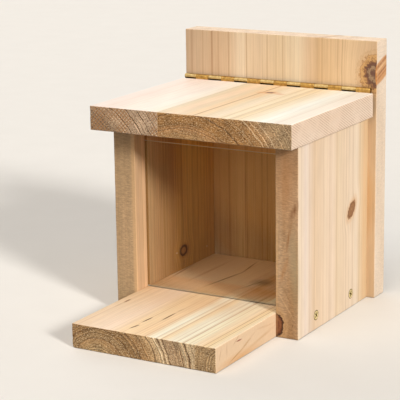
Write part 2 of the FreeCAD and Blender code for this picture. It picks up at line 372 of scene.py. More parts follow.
def turned(outline, place, direction, sides=32):
    """A closed turned form through rings of (radius, depth), in millimetres, along direction."""
    turn = Vector(direction).to_track_quat("Z", "Y").to_matrix()
    angles = [math.tau * i / sides for i in range(sides)]
    return lofted([[Vector(place) + turn @ Vector((r * math.cos(angle), r * math.sin(angle), z))
                    for angle in angles] for r, z in outline])


CRISP = math.radians(38)  # arrises sharper than this stay sharp when a piece is cut


def combine(piece, operation, forms):
    """Joins closed forms, in millimetres, to a piece or cuts them out of it, and keeps its arrises crisp."""
    tools = [mesh_object("tool", [Vector(p) * MM for p in points], faces) for points, faces in forms]
    for tool in tools:
        step = piece.modifiers.new("step", "BOOLEAN")
        step.operation = operation
        step.solver = "EXACT"
        step.object = tool
    bpy.context.view_layer.update()
    done = bpy.data.meshes.new_from_object(piece.evaluated_get(bpy.context.evaluated_depsgraph_get()))
    piece.modifiers.clear()
    spent = [piece.data] + [tool.data for tool in tools]
    piece.data = done
    for mesh in spent:
        bpy.data.meshes.remove(mesh)  # and with it the object that shows it
    done.polygons.foreach_set("use_smooth", [True] * len(done.polygons))
    done.set_sharp_from_angle(angle=CRISP)


def bore(piece, cutters):
    """Cuts forms out of a piece in one go."""
    points, faces = [], []
    for cutter_points, cutter_faces in cutters:
        faces += [[len(points) + i for i in face] for face in cutter_faces]
        points += cutter_points
    combine(piece, "DIFFERENCE", [(points, faces)])


ACROSS_STEP = 1.25
ALONG_STEP = 4.0
ARRIS = 0.55
TIGHT = 0.05  # the arris along a glue line
ARRIS_STEPS = (0, 0.25, 0.55, 1.0, 1.5)  # where the grid's lines crowd at an arris, in its radii
PLAIN_STARTS = 2.2
WEAR_RANGE = (0.35, 2.1)
CHIP_REACH = (0.8, 2.2)
CHIP_BITE = (0.5, 1.5)


def board(name, grain, material, body, seed, chips, holes, tight=()):
    """A board with worn arrises: a closed grid over the CAD node's box, whose edges are rounded by a radius
    that wanders, with small tear-outs along the sawn ends. `tight` names the sides that meet a glue line."""
    low, high = (np.array(corner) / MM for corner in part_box(name))
    along = "XYZ".index(grain)
    lines, margins = [], []
    for axis in range(3):
        ends = [TIGHT if (axis, side) in tight else ARRIS for side in (0, 1)]
        margins.append(ends)
        start, stop = low[axis] + PLAIN_STARTS * ends[0], high[axis] - PLAIN_STARTS * ends[1]
        count = max(2, round((stop - start) / (ALONG_STEP if axis == along else ACROSS_STEP)) + 1)
        near = [low[axis] + ends[0] * step for step in ARRIS_STEPS]
        far = [high[axis] - ends[1] * step for step in ARRIS_STEPS[::-1]]
        lines.append(near + list(np.linspace(start, stop, count)) + far)
    points, faces = grid_box(lines)
    dice = random.Random(seed)
    wear = np.array([0.75 + 0.9 * abs(noise.noise(Vector(p) * 0.05 + Vector((seed, 0, 0))))
                     + 0.35 * noise.noise(Vector(p) * 0.4) for p in points])
    for _ in range(chips):
        centre = np.array([dice.uniform(low[axis], high[axis]) for axis in range(3)])
        centre[along] = dice.choice((low[along], high[along]))
        other = dice.choice([axis for axis in range(3) if axis != along])
        centre[other] = dice.choice((low[other], high[other]))
        reach, bite = dice.uniform(*CHIP_REACH), dice.uniform(*CHIP_BITE)
        wear += bite * np.clip(1 - np.linalg.norm(points - centre, axis=1) / reach, 0, 1)
    wear = np.clip(wear, *WEAR_RANGE)[:, None]
    reaches = [np.where(ends > TIGHT, ends * wear, TIGHT) for ends in np.array(margins).T]
    points = rounded(points, low, high, *reaches)
    bore(mesh_piece(name + "_board", points * MM, faces, material, body, name), holes)


WOOD_SCREW = dict(head=8.2, shank=4.2, length=38.0, pitch=2.4)
HINGE_SCREW = dict(head=4.6, shank=2.4, length=12.0, pitch=1.1)
HEAD_ANGLE = math.radians(82.0)
SCREW_CLEARANCE = 0.1


def countersunk_hole(screw, place, direction):
    """The form that a countersunk screw's hole takes out, with its face at place."""
    cone = (screw["head"] - screw["shank"]) / 2 / math.tan(HEAD_ANGLE / 2)
    head, shank = screw["head"] / 2 + SCREW_CLEARANCE, screw["shank"] / 2 + SCREW_CLEARANCE
    outline = [(head, -1.0), (head, 0.05), (shank, cone), (shank, screw["length"] + SCREW_CLEARANCE)]
    return turned(outline, place, direction)


def corners(node):
    """A CAD node's lowest and highest corners, in millimetres."""
    return [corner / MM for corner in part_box(node)]


# the hinge's strip is 1 mm thick, and curls round a bore of 2.5 mm
LEAF = 1.0
BORE = 1.24
KNUCKLE = BORE + LEAF
HINGE_SCREW_START, HINGE_SCREW_SPACING, HINGE_SCREW_DROP = 14.0, 50.8, 8.6
# rear screws: up from the wall's foot, down from its top, and out from the middle of the floor
REAR_SCREW_UP, REAR_SCREW_DOWN, REAR_SCREW_OUT = 34.0, 27.5, 32.0
TREE_HOLE_Z = (60.0, 130.0)
TREE_HOLE_OUTLINE = [(2.5, -1.0), (2.5, 21.5)]
wall_low, wall_high = corners("right_wall")
floor_high = corners("floor_board")[1]
leaf_low, leaf_high = corners("hinge_back_leaf")
roof_leaf_low, roof_leaf_high = corners("hinge_roof_leaf")
back_front_y = corners("back_panel")[0].y
wall_x = (wall_low.x + wall_high.x) / 2
wall_rear_z = (REAR_SCREW_UP, wall_high.z - REAR_SCREW_DOWN)
hinge_screw_x = [leaf_low.x + HINGE_SCREW_START + HINGE_SCREW_SPACING * i for i in range(4)]
hinge_screw_z = leaf_high.z - KNUCKLE - HINGE_SCREW_DROP
# two into the left wall, two into the right one, two into the floor
rear_places = ([(side * wall_x, 0, z) for side in (-1, 1) for z in wall_rear_z]
               + [(side * REAR_SCREW_OUT, 0, floor_high.z / 2) for side in (-1, 1)])
rear_holes = [countersunk_hole(WOOD_SCREW, place, (0, -1, 0)) for place in rear_places]
back_leaf_places = [(x, back_front_y - LEAF, hinge_screw_z) for x in hinge_screw_x]
back_leaf_holes = [countersunk_hole(HINGE_SCREW, place, (0, 1, 0)) for place in back_leaf_places]
tree_holes = [turned(TREE_HOLE_OUTLINE, (0, 0.5, z), (0, -1, 0)) for z in TREE_HOLE_Z]

panel_cedar = cedar(
    "cedar_back_planed", "Z", pith=(-230, 160), face=(1, -19.5), seed=3.1, ring=7.5, rings=0.16, wander=1.2,
    late="8e6238", end_tints=[(200, "e9d4be"), (400, "e9d4be")], end_late="b99069", ends=0.5, speckle=0.25,
    stripes=0.07, band=1.4, fibre=0.13,
    zones=[
        (-90, "c0a68a"), (-84, "caae8e"), (-62, "dcbf9c"), (-35, "e2c6a4"), (-8, "dabd98"), (20, "e3c9a6"),
        (48, "dcc09a"), (72, "e0c39e"), (90, "ceb08e")],
    within=(1, -13, -17, [
        (-90, "c0a68a"), (-83, "bea387"), (-76, "c6ac8f"), (-60, "c5a889"), (-47, "ccb294"), (-37, "dac7ad"),
        (-29, "d5bfa2"), (-20, "d3bda1"), (0, "d3be9f"), (18, "dacab0"), (27, "d0b79a"), (38, "d1b38d"),
        (66, "dbbf9b"), (90, "ceb08e")]),
    lines=[
        (-84, 1.4, 0.2), (-73, 0.8, 0.2), (-64, 0.8, 0.5), (-58, 0.6, 0.28), (-47.7, 1.0, 0.33),
        (-41.3, 0.6, 0.15), (-33.7, 0.9, -0.18), (-30.6, 0.7, 0.4), (-24, 0.5, 0.18), (-15.3, 0.5, 0.15),
        (-10.5, 0.7, 0.27), (-2, 0.5, 0.15), (4.4, 0.7, 0.33), (11.3, 0.8, 0.15), (40.3, 0.6, 0.33),
        (45, 0.4, 0.15), (55, 0.6, 0.3), (59.3, 0.6, 0.3), (62, 0.4, 0.15)],
    edges=[(0, "f5e3d0", 0.7, 0.11)],
    knots=[
        Knot((87.5, -19.5, 189.8), (12, 90, 14.2), [
            (0.0, "5f3c33", 0.95), (0.2, "6b4a3c", 0.95), (0.32, "a08566", 0.95), (0.42, "8f7358", 0.95),
            (0.5, "5c3a30", 0.95), (0.62, "6a4332", 0.95), (0.74, "9c6f42", 0.9), (0.82, "c39860", 0.9),
            (0.93, "cfa268", 0.85), (1.0, "96683a", 0.85), (1.07, "c79c6c", 0.5), (1.22, "d3ad80", 0.3),
            (1.3, "ab8258", 0.35), (1.42, "d8ac78", 0.0)],
            turn=(0.39, 0, 0), reach=1.3, ragged=0.34, mottle=0.28, on=1)],
    marks=[
        # painted bounce light: inside the box the front face is drawn warmer and paler
        Mark((0, -19.5, 100), (92, 9, 66), "ffd9a0", 0.35, 0.7, 0.95),
        Mark((90, -10, 192.4), (1.5, 26, 9.4), "cd8f52", 0.9, 0.85, 0.85, (0.36, 0, 0)),
        Mark((90, -10, 198.5), (1.5, 30, 1.6), "9a5f30", 0.85, turn=(0.36, 0, 0)),
        Mark((90, -12, 194.8), (1.5, 18, 1.5), "efc99a", 0.9, turn=(0.36, 0, 0)),
        Mark((90, -8, 192.2), (1.5, 30, 1.3), "8a4f28", 0.8, turn=(0.36, 0, 0)),
        Mark((90, -12, 187.5), (1.5, 30, 1.2), "a9672f", 0.7, turn=(0.36, 0, 0)),
        # painted bounce light and shade: inside the box the front face is warmer still, and greyer and
        # darker towards the floor
        Mark((0, -19.5, 82), (92, 9, 84), "ffeac6", 1.0, 0.85, 0.85, blend="MULTIPLY"),
        Mark((0, -19.5, 20), (80, 9, 90), "d9ccb2", 1.0, 0.1, 0.8, blend="MULTIPLY")]
    + [Mark((x, -19.5, 70), (width, 2, 110), "a06c38", strength) for x, width, strength in (
        (-48.5, 0.9, 0.5), (-32.3, 1.0, 0.55), (-22.5, 0.7, 0.4), (-16, 0.9, 0.55), (-11, 0.8, 0.45))])
board("back_panel", "Z", panel_cedar, "box", 11, 26, rear_holes + tree_holes + back_leaf_holes)


# Walls
# Two upright cedar boards, planed, with a saw groove down each inner face for the pane. They are
# screwed to the floor's edges, and the back panel is screwed to their rear ends.
GROOVE_CLEARANCE = 0.3
GROOVE_DEPTH = 6.0
GROOVE_PAST = 2.0  # how far the saw runs out past both ends
# screws through the walls: from the rear and front ends, and down from the floor's top
SIDE_SCREW_REAR, SIDE_SCREW_FRONT, SIDE_SCREW_DOWN = 31.5, 32.0, 8.0
wall_screw_y = (back_front_y - SIDE_SCREW_REAR, wall_low.y + SIDE_SCREW_FRONT)
wall_screw_z = floor_high.z - SIDE_SCREW_DOWN
side_places = {side: [(side * wall_high.x, y, wall_screw_z) for y in wall_screw_y] for side in (-1, 1)}
side_holes = {side: [countersunk_hole(WOOD_SCREW, place, (-side, 0, 0)) for place in places]
              for side, places in side_places.items()}
pane_low, pane_high = corners("window_pane")

left_cedar = cedar(
    "cedar_left_planed", "Z", pith=(40, -320), face=(0, -63.5), seed=7.7, ring=5.5, rings=0.36, wander=1.4,
    late="94652f", stripes=0.3, band=1.5, fibre=0.24, ends=0.35, strong_ends=0.5,
    zones=[
        (-148, "c8a684"), (-145, "c8a684"), (-141, "dfc09a"), (-120, "e6caa6"), (-98, "ebd2b0"),
        (-80, "e4c59e"), (-60, "ead0ac"), (-40, "e5c8a0"), (-19.5, "dfbd94")],
    # the inner face has its own zones: darker from y -113 to -89, painted shade over the key lamp's patch,
    # and golden towards the rear, painted bounce light
    within=(0, -75, -71, [
        (-147.5, "c8a684"), (-139, "c8a684"), (-134, "d6b08a"), (-125, "d3aa80"), (-113, "cba37d"),
        (-101, "bc9a76"), (-89, "be956a"), (-80, "d2a86c"), (-62, "e9c783"), (-40, "e9c783"),
        (-19.5, "e5c081")]),
    lines=[
        (-141.5, 0.5, 0.2), (-137, 0.5, 0.2), (-125, 0.6, 0.35), (-120, 0.5, 0.3), (-115.5, 0.4, 0.12),
        (-109.5, 0.6, 0.35), (-103.5, 0.4, 0.15), (-98.5, 0.4, 0.2), (-93.5, 0.3, 0.12), (-89, 0.5, 0.28),
        (-84.5, 0.3, 0.12), (-80.5, 0.4, 0.25), (-74, 0.5, 0.35), (-69.5, 0.4, 0.15), (-65, 0.4, 0.25),
        (-57.5, 0.4, 0.2), (-53, 0.3, 0.12), (-49, 0.4, 0.22), (-44.5, 0.3, 0.12), (-41, 0.4, 0.18),
        (-36.5, 0.3, 0.12), (-33, 0.4, 0.2), (-27, 0.4, 0.15)],
    edges=[(1, "a58d6c", 0.66, 0.26)],
    knots=[
        Knot((-63.5, -73.1, 35.3), (6, 6.4, 4.9), [
            (0.0, "a9784a", 0.9), (0.5, "a9784a", 0.8), (0.64, "6b441e", 0.95), (0.78, "4c2c10", 0.95),
            (0.94, "553315", 0.95), (1.06, "8f5f34", 0.5), (1.6, "b98046", 0.0)],
            reach=1.8, ragged=0.15, mottle=0.1)],
    marks=[
        # painted bounce light and shade on the inner face: warmer all over, and greyer and darker towards
        # the bottom
        Mark((-63.5, -52, 80), (9, 72, 400), "ffeed2", 1.0, 0.7, 0.9, blend="MULTIPLY"),
        Mark((-63.5, -50, 5), (9, 90, 100), "e6e5de", 1.0, 0.3, 0.9, blend="MULTIPLY"),
        Mark((-63.5, -72.8, 58), (2, 0.6, 22), "4c2a0e", 0.8),
        Mark((-63.5, -72.5, 25), (2, 0.8, 6), "4c2a0e", 0.8),
        Mark((-65, -147.5, 82), (2.6, 3, 600), "d6b084", 0.7, 0.3, 0.7),
        # painted light: the pane's groove, which lies in shade, and the face beside it are drawn in a warm
        # orange
        Mark((-66, -130, 85), (4, 2.6, 600), "d9a264", 0.9, 0.9, 0.9),
        Mark((-63.5, -33.3, 29.3), (1, 0.7, 0.7), "fff0d8", 1.0, 0.6, 1.0),
        Mark((-63.5, -84.3, 35.7), (1, 0.7, 0.7), "fff0d8", 1.0, 0.6, 1.0)])
right_cedar = cedar(
    "cedar_right_planed", "Z", pith=(-10, 60), face=(0, 83), seed=1.3, ring=6.5, rings=0.12, wander=1.2,
    late="a67c4a", stripes=0.07, band=1.6, fibre=0.10,
    zones=[
        (-147.5, "f6e0c4"), (-134, "f0ddce"), (-120, "ebcfb0"), (-98, "f3dabf"), (-86, "f4dcc4"),
        (-78, "edd4b5"), (-62, "eed6bb"), (-41, "f1dcc4"), (-34, "e9cfad"), (-27, "e4c299"),
        (-19.5, "d8ba93")],
    lines=[
        (-142.5, 0.9, 0.14), (-131.5, 1.2, -0.3), (-128.3, 0.7, 0.2), (-119.3, 0.9, 0.22),
        (-112.5, 0.5, 0.12), (-103.3, 0.7, 0.22), (-100, 0.6, -0.2), (-92, 0.6, 0.28), (-79, 1.3, 0.2),
        (-74, 0.8, -0.15), (-66, 0.5, 0.12), (-64, 0.5, -0.2), (-61, 0.7, 0.25), (-48.3, 1.0, 0.26),
        (-43, 1.6, -0.15), (-35.4, 0.9, 0.28), (-27.3, 0.7, 0.1), (-21, 0.6, 0.2)],
    edges=[(1, "9a744c", 0.82, 0.34)], ends=0.35, strong_ends=0.5,
    knots=[
        Knot((83, -50.9, 83.2), (8, 8.3, 5.0), [
            (0.0, "a87c50", 0.97), (0.3, "8f6038", 0.97), (0.55, "9c6c42", 0.97), (0.86, "774820", 0.95),
            (1.0, "9c6c40", 0.9), (1.14, "dcb083", 0.6), (1.9, "eac39c", 0.0)],
            turn=(0.72, 0, 0), reach=1.6, ragged=0.14, mottle=0.22),
        Knot((63.2, -147.5, 10), (7.2, 14, 9.6), [
            (0.0, "7d4a30", 1.0), (0.4, "6d3f28", 1.0), (0.62, "845536", 1.0), (0.82, "66391f", 1.0),
            (0.93, "301a10", 1.0), (1.02, "4a2e1c", 0.9), (1.12, "c09a70", 0.7), (1.26, "a57e50", 0.5),
            (1.36, "c9a478", 0.4), (1.7, "b58d60", 0.0)], reach=1.7, ragged=0.12, mottle=0.2, on=1)],
    marks=[
        Mark((80, -147.5, 58), (6, 4, 46), "a99979", 0.66, 0.2, 0.7, (0, -0.05, 0)),
        Mark((74, -147.5, 128), (16, 3, 52), "b87a3e", 0.42, 0.2, 0.8),
        Mark((79.5, -147.5, 103), (3.2, 3, 11), "74451e", 0.85, 0.0, turn=(0, 0.5, 0)),
        Mark((75, -147.5, 82), (1.8, 3, 17), "8a5a2c", 0.8, 0.0, turn=(0, 0.2, 0)),
        Mark((70.5, -147.5, 54), (2.4, 3, 17), "9c6630", 0.7, 0.0, turn=(0, 0.3, 0)),
        Mark((66.5, -147.5, 90), (0.8, 3, 40), "8f6234", 0.5, 0.0, turn=(0, 0.02, 0)),
        Mark((72, -147.5, 27), (0.9, 3, 16), "dcb88e", 0.6, 0.0, turn=(0, -0.6, 0)),
        Mark((74.5, -147.5, 33), (0.7, 3, 16), "8c6a40", 0.5, 0.0, turn=(0, -0.5, 0)),
        Mark((64.5, -147.5, 60), (1.6, 3, 80), "c9a272", 0.6, 0.2, 0.7),
        Mark((78.3, -147.5, 11), (0.8, 2, 1.4), "5c3c20", 0.8, turn=(0, 0.5, 0)),
        # painted light: the pane's groove, which lies in shade, and the face beside it are drawn in a warm
        # orange
        Mark((66, -130, 85), (4, 2.6, 600), "d9a264", 0.9, 0.9, 0.9),
        Mark((83, -52.5, 70), (1.5, 1.6, 9), "c99a68", 0.45, 0.0)])


def block(low, high):
    """A closed box between two corners."""
    sides = [(0, 1, 3, 2), (4, 6, 7, 5), (0, 4, 5, 1), (2, 3, 7, 6), (0, 2, 6, 4), (1, 5, 7, 3)]
    return list(itertools.product(*zip(low, high))), sides


for name, side, material, seed, rear in (("left_wall", -1, left_cedar, 21, rear_holes[:2]),
                                         ("right_wall", 1, right_cedar, 22, rear_holes[2:4])):
    inner_x = side * wall_low.x
    x0, x1 = sorted((inner_x - side, inner_x + side * GROOVE_DEPTH))
    groove = block((x0, pane_low.y - GROOVE_CLEARANCE, -GROOVE_PAST),
                   (x1, pane_high.y + GROOVE_CLEARANCE, wall_high.z + GROOVE_PAST))
    board(name, "Z", material, "box", seed, 18, [groove] + side_holes[side] + rear)


# Floor
# A wide cedar board and a narrow strip, glued edge to edge. The floor lies between the walls and
# reaches out in front as a landing.
floor_cedar = cedar(
    "cedar_floor_planed", "Y", pith=(-38, -14), face=(1, 19.5), seed=5.4, ring=7.5, rings=0.2, wander=0.9,
    lean=(0.024, -195), late="b06e2c", end_late="4e3216", ends=0.12, strong_ends=2.0, speckle=0.7,
    stripes=0.15, band=1.3, fibre=0.14,
    end_tints=[
        (14, "ba9f75"), (24, "a48259"), (27, "9c805b"), (34, "9c7b51"), (43, "a7845a"), (50, "bb996d"),
        (57, "d0b38b"), (66, "c4a886"), (74, "b29675"), (80, "c4aa86"), (90, "cdb693")],
    zones=[
        (-63.5, "d8bc99"), (-52, "e1c8aa"), (-30, "ecd5be"), (-18, "efd5af"), (3, "f3d6b0"), (12, "f6f6e4"),
        (20, "f5e0bb"), (26, "f6eed8"), (34, "f6f4df"), (42, "f6edcf"), (46, "f6ecd2")],
    lines=[
        (-57, 0.5, 0.15), (-47.5, 0.4, 0.08), (-23, 0.5, 0.16), (-16, 0.5, 0.4), (-5.3, 0.5, 0.36),
        (-2, 0.4, 0.15), (3.9, 0.8, 0.36), (11, 0.8, -0.6), (13.7, 0.5, 0.48), (15.8, 0.5, -0.6),
        (18.3, 1.0, 0.42), (22, 0.4, 0.14), (27.3, 0.6, 0.2), (31.3, 0.7, 0.42), (34, 0.8, -0.35),
        (37.3, 0.8, 0.52), (40, 0.5, -0.3), (42.3, 0.6, 0.22), (45.2, 0.4, 0.18)],
    arcs=[
        (25.2, 0.5, 0.2), (32.8, 0.6, 0.42), (40.5, 0.5, 0.33), (46.5, 0.4, 0.3), (49.5, 0.4, 0.3),
        (53, 0.4, 0.25)],
    sawn=[(1, 60, 2.2, 0.2)],
    marks=[
        Mark((-16.2, 19.5, -226.8), (0.9, 2, 6.5), "55331a", 1.0, 0.6, 0.95, (0, 0.2, 0)),
        Mark((-16.3, 19.5, -208.2), (0.9, 2, 8.2), "55331a", 1.0, 0.6, 0.95, (0, 0.07, 0)),
        Mark((-5.7, 19.5, -194), (0.85, 2, 12.5), "603a1c", 1.0, 0.55, 0.9),
        Mark((-5.9, 19.5, -176), (0.6, 2, 7), "7a5226", 0.6, turn=(0, 0.1, 0)),
        Mark((-56.5, 19.5, -173.8), (1.3, 2, 6.5), "75492a", 0.95, 0.4, 0.9),
        Mark((-57, 19.5, -186), (0.8, 2, 9), "9a6c3a", 0.5),
        # painted shade: the landing is tan and darker along the foot of the box
        Mark((10, 19.5, -150), (120, 6, 42), "d6a873", 0.4, 0.0, 0.85),
        # painted bounce light and shade on the floor inside the box: paler and warmer, then darker and
        # warmer just behind the pane and towards the right
        Mark((-5, 19.5, -50), (95, 6, 82), "ffdebc", 0.6, 0.85, 0.9),
        Mark((0, 19.5, -112), (200, 6, 20), "ffeedc", 1.0, 0.6, 0.9, blend="MULTIPLY"),
        Mark((32, 19.5, -70), (28, 6, 62), "e6ccac", 1.0, 0.6, 0.8, blend="MULTIPLY"),
        Mark((-16.6, 19.5, -84), (1.3, 2, 32), "8a5020", 0.95, even=0.8, turn=(0, 0.16, 0)),
        Mark((-14.8, 19.5, -45), (1.2, 2, 22), "96602e", 0.8, even=0.8, turn=(0, -0.12, 0)),
        Mark((-60.3, 19.5, -83), (1.3, 2, 34), "b0703e", 0.8, turn=(0, -0.08, 0)),
        Mark((-40, 19.5, -70), (2.2, 2, 44), "c48a56", 0.45, turn=(0, 0.03, 0)),
        Mark((12, 19.5, -87), (1.6, 2, 28), "8f6644", 0.6, turn=(0, 0.25, 0)),
        Mark((17, 19.5, -80), (13, 3, 12), "5c4a3a", 0.75, 0.0, 0.6)])
strip_cedar = cedar(
    "cedar_strip_planed", "Y", pith=(74, 4), face=(1, 19.5), seed=9.9, ring=4.0, rings=0.14, wander=1.2,
    lean=(0.024, -195), late="a06c38", end_late="4a3418", ends=0.08, strong_ends=0.2, speckle=0.7,
    stripes=0.1, band=1.6, end_tints=[(0, "a78b65"), (40, "ae9069")],
    zones=[
        (45.5, "f6e5c5"), (51, "f6dfbd"), (55, "f6dcb2"), (59, "f6e2bb"), (63.5, "f4e2c4")],
    lines=[
        (48.3, 0.4, 0.12), (50, 0.4, -0.3), (53.8, 0.7, 0.5), (58, 0.6, 0.5), (61.3, 0.5, -0.4)],
    edges=[(0, "e9caa8", 1.0, 0.05)], sawn=[(1, 40, 2.0, 0.2)],
    marks=[
        Mark((63.5, 15.1, -207), (2, 0.75, 5.5), "8c3526", 1.0, 0.3, 0.95, (0.04, 0, 0)),
        Mark((63.5, 4.2, -213), (2, 0.7, 13.5), "9c6630", 0.9, 0.2, 0.8, (-0.26, 0, 0)),
        Mark((63.5, 16.5, -211.5), (2, 0.6, 7), "a8713c", 0.8, turn=(-0.5, 0, 0)),
        Mark((63.5, 13, -225.8), (2, 7, 0.7), "b58658", 0.75, 0.0, 0.8),
        Mark((63.5, 12, -236), (2, 7, 0.7), "b58658", 0.75, 0.0, 0.8, (0.35, 0, 0)),
        Mark((63.5, 2, -205), (2, 5.5, 42), "dba468", 0.8, 0.0, 0.7),
        Mark((63.5, 9, -196), (2, 1.5, 18), "bc864e", 0.65, 0.1, turn=(-0.35, 0, 0)),
        Mark((63.5, 7, -170), (2, 1.8, 26), "c8965e", 0.5, 0.1, turn=(-0.12, 0, 0)),
        Mark((63.5, 14, -166), (2, 1.2, 18), "cc9c68", 0.45, 0.1, turn=(0.1, 0, 0))])
floor_holes = side_holes[-1] + side_holes[1] + rear_holes[4:]
board("floor_board", "Y", floor_cedar, "box", 31, 40, floor_holes, tight=((0, 1),))
board("floor_edge_strip", "Y", strip_cedar, "box", 32, 14, floor_holes, tight=((0, 0),))


# Wood screws
# Flat head wood screws of hardened steel with yellow plating, turned and rolled, 8 mm across the
# head, with a cross recess. Driven flush: four through the walls, six from behind.
def plated(name, colour, deep, roughness, painted_shade=()):
    """Plated steel or rolled brass: a metal mirror, broken by fine scratches and by spots of a deeper
    tone. `painted_shade` darkens it with painted shade where an axis passes from one value to another,
    as (axis, none, full, share)."""
    material = bpy.data.materials.new(name)
    add = node_adder(material)
    place = add("TexCoord", out="Object")
    axes = add("SeparateXYZ", place, out=XYZ)
    # spots 2.4 mm apart, and scratches 0.24 mm apart and 11 mm long
    spots = add("TexNoise", place, 0.42 / MM, 3.0)
    scratches = add("VectorMath MULTIPLY", place, (0.09 / MM, 4.2 / MM, 4.2 / MM))
    scratches = add("TexNoise", scratches, 1.0, 2.0)
    tint = add("Mix", add("MapRange", spots, 0.35, 0.7), linear(colour), linear(deep))
    # painted shade: each band mixes in a dark brown
    for axis, none, full, share in painted_shade:
        shade_share = add("MapRange", axes[axis], none * MM, full * MM, 0, share)
        tint = add("Mix", shade_share, tint, linear("3c260a"))
    gloss = add("MapRange", scratches, 0.3, 0.7, roughness - 0.08, roughness + 0.12)
    relief = add("Bump", {"Strength": 0.25, "Distance": 0.03 * MM, "Height": scratches})
    add("OutputMaterial", add("BsdfPrincipled", {
        "Base Color": tint, "Metallic": 1.0, "Roughness": gloss, "Normal": relief}))
    return material


screw_metal = plated("steel_yellow_plated", "f6e8b4", "dcc684", 0.34)
# the cross recess and the turned rim take this dark metal: painted shade, with some grime in the recess
screw_shade_and_grime = plated("steel_yellow_plated_shade_and_grime", "5a4a24", "3a2c12", 0.6)
THREAD_SIDES = 20
THREAD_STEPS = 6  # rings of points in one turn of the thread
THREAD_CORE = 0.68  # of the shank
THREAD_RIDGE = 0.22  # half the ridge's width, in pitches
RECESS = dict(half_long=0.29, half_wide=0.062, depth=0.24)  # of the head


def screw_form(screw, place, turn):
    """A countersunk screw: bevelled head, plain neck, rolled thread and point."""
    head, shank, length, pitch = screw["head"] / 2, screw["shank"] / 2, screw["length"], screw["pitch"]
    cone = (head - shank) / math.tan(HEAD_ANGLE / 2)
    core = shank * THREAD_CORE
    # radius, depth, and how much of the thread is there
    outline = [(head - 0.5, 0.0, 0), (head - 0.1, 0.1, 0), (head, 0.25, 0), (shank * 1.02, cone + 0.1, 0),
               (shank, cone + 0.5, 0), (shank, cone + length * 0.12, 0)]
    z = outline[-1][1] + 0.2
    while z < length - screw["shank"]:
        outline.append((core, z, 1))
        z += pitch / THREAD_STEPS
    outline += [(core * 0.75, length - screw["shank"] * 0.6, 0.4), (0.12, length, 0)]
    rings = []
    for r, z, thread in outline:
        ring = []
        for i in range(THREAD_SIDES):
            phase = (z / pitch - i / THREAD_SIDES) % 1.0
            ridge = max(0.0, 1 - abs(phase - 0.5) / THREAD_RIDGE) * (shank - core) * thread
            angle = math.tau * i / THREAD_SIDES
            point = Vector(((r + ridge) * math.cos(angle), (r + ridge) * math.sin(angle), z))
            ring.append(Vector(place) + turn @ point)
        rings.append(ring)
    return lofted(rings)


def cross_recess(screw, place, turn):
    """The cross that the driver fits: two tapered slots."""
    half_long, half_wide, depth = (share * screw["head"] for share in RECESS.values())
    forms = []
    for quarter in (0, 1):
        rings = []
        for z, shrink in ((-0.5, 1.0), (0.0, 1.0), (depth, 0.30)):
            a, b = half_long * shrink, half_wide * (0.6 + 0.4 * shrink)
            ring = [(-a, -b), (a, -b), (a, b), (-a, b)]
            rings.append([Vector(place) + turn @ Vector((-y, x, z) if quarter else (x, y, z))
                          for x, y in ring])
        forms.append(lofted(rings))
    return forms


def screw_group(node, body, screw, places, direction, seed):
    """The screws of one CAD node, each turned as far as the driver happened to leave it."""
    dice = random.Random(seed)
    for number, place in enumerate(places, 1):
        turn = (Vector(direction).to_track_quat("Z", "Y").to_matrix()
                @ Matrix.Rotation(dice.uniform(0, math.tau / 4), 3, "Z"))
        points, faces = screw_form(screw, place, turn)
        piece = mesh_piece(f"{node}_{number}", [p * MM for p in points], faces, screw_metal, body, node)
        for form in cross_recess(screw, place, turn):
            bore(piece, [form])
        piece.data.materials.append(screw_shade_and_grime)
        # painted shade: faces on the rim and in the recess take the dark metal
        for face in piece.data.polygons:
            inward = turn.inverted() @ (face.center / MM - Vector(place))
            on_rim = inward.xy.length > screw["head"] / 2 - 0.55 and inward.z < 0.3
            in_recess = inward.xy.length < screw["head"] * 0.3 and 0.02 < inward.z < screw["head"] * 0.26
            if on_rim or in_recess:
                face.material_index = len(piece.data.materials) - 1


for node, places, direction, seed in (
        ("back_left_wall_screws", rear_places[:2], (0, -1, 0), 41),
        ("back_right_wall_screws", rear_places[2:4], (0, -1, 0), 42),
        ("back_floor_screws", rear_places[4:], (0, -1, 0), 43),
        ("left_wall_floor_screws", side_places[-1], (1, 0, 0), 43),
        ("right_wall_floor_screws", side_places[1], (-1, 0, 0), 45)):
    screw_group(node, "box", WOOD_SCREW, places, direction, seed)


# Window pane
# A clear acrylic sheet, 3 mm, sawn to size with its arrises scraped. It stands on the floor in the
# two grooves and slides up and out.
ACRYLIC_IOR = 1.49
EASE = 0.25
# clear, with a weak gleam; its sawn upper edge is a thin pale line, and its lower edge lets through a dark
# brown, a painted shadow where it stands on the floor
acrylic = bpy.data.materials.new("acrylic_clear_sheet")
add = node_adder(acrylic)
place, normal = add("TexCoord", out=("Object", "Normal"))
side = add("SeparateXYZ", normal, out=XYZ)
sawn_edge = add("Math LESS_THAN", add("Math ABSOLUTE", side[1]), 0.7)
sawn_edge = add("Math MULTIPLY", sawn_edge, add("MapRange", side[2], 0.3, 0.7, 0.12))
smear = add("TexNoise", place, 0.03 / MM, 2.0)  # 33 mm apart
gloss = add("Math MULTIPLY_ADD", sawn_edge, 0.45, add("MapRange", smear, 0.4, 0.7, 0.02, 0.05))
# painted shadow: the lower edge lets through a dark brown, as the shade where the sheet stands on the floor
contact_shadow = add("MapRange", side[2], -0.3, -0.7)
seen_through = add("BsdfTransparent", add("Mix", contact_shadow, linear("fafcfb"), linear("5a4028")))
lit_through = add("BsdfTransparent", linear("ebebe9"))
clear = add("MixShader", add("LightPath", out="Is Shadow Ray"), seen_through, lit_through)
skin = add("BsdfPrincipled", {"Base Color": linear("f1e6d2"), "Roughness": gloss, "IOR": ACRYLIC_IOR})
gleam = add("Math MULTIPLY", add("Fresnel", ACRYLIC_IOR), 0.14)
cover = add("Math MULTIPLY_ADD", sawn_edge, 0.75, gleam)
add("OutputMaterial", add("MixShader", cover, clear, skin))

